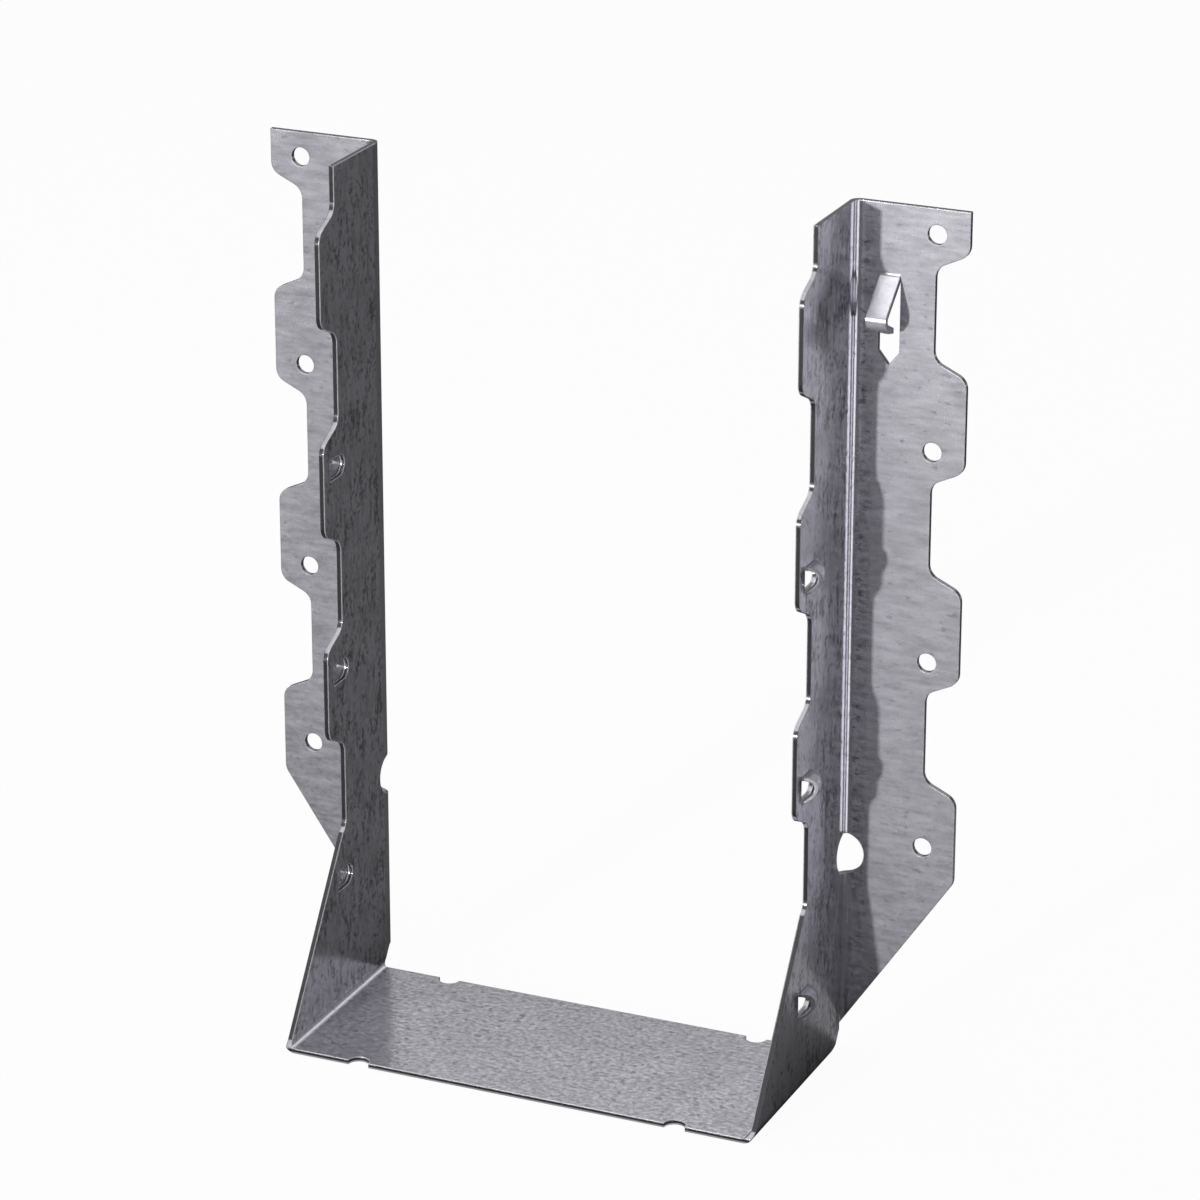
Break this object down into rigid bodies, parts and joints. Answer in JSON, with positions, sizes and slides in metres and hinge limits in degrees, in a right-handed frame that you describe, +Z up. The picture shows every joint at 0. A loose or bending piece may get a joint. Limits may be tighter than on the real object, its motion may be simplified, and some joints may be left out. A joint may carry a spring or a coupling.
{
  "type": "joist hanger",
  "caption": "U-shaped joist hanger folded from galvanised sheet, with nailing flanges that have tabbed edges, pressed angled nail guides in its side plates and a bent prong.",
  "frame": {"origin": "middle of the bounding box at the underside of the seat", "axes": "+X across the joist, +Y towards the face of the header, +Z up"},
  "size_m": [0.174, 0.0564, 0.2095],
  "materials": {
    "galvanised_sheet": "hot-dip galvanised, fine spangle, satin"
  },
  "bodies": {
    "root": {"hanger": "galvanised_sheet"}
  },
  "joints": []
}
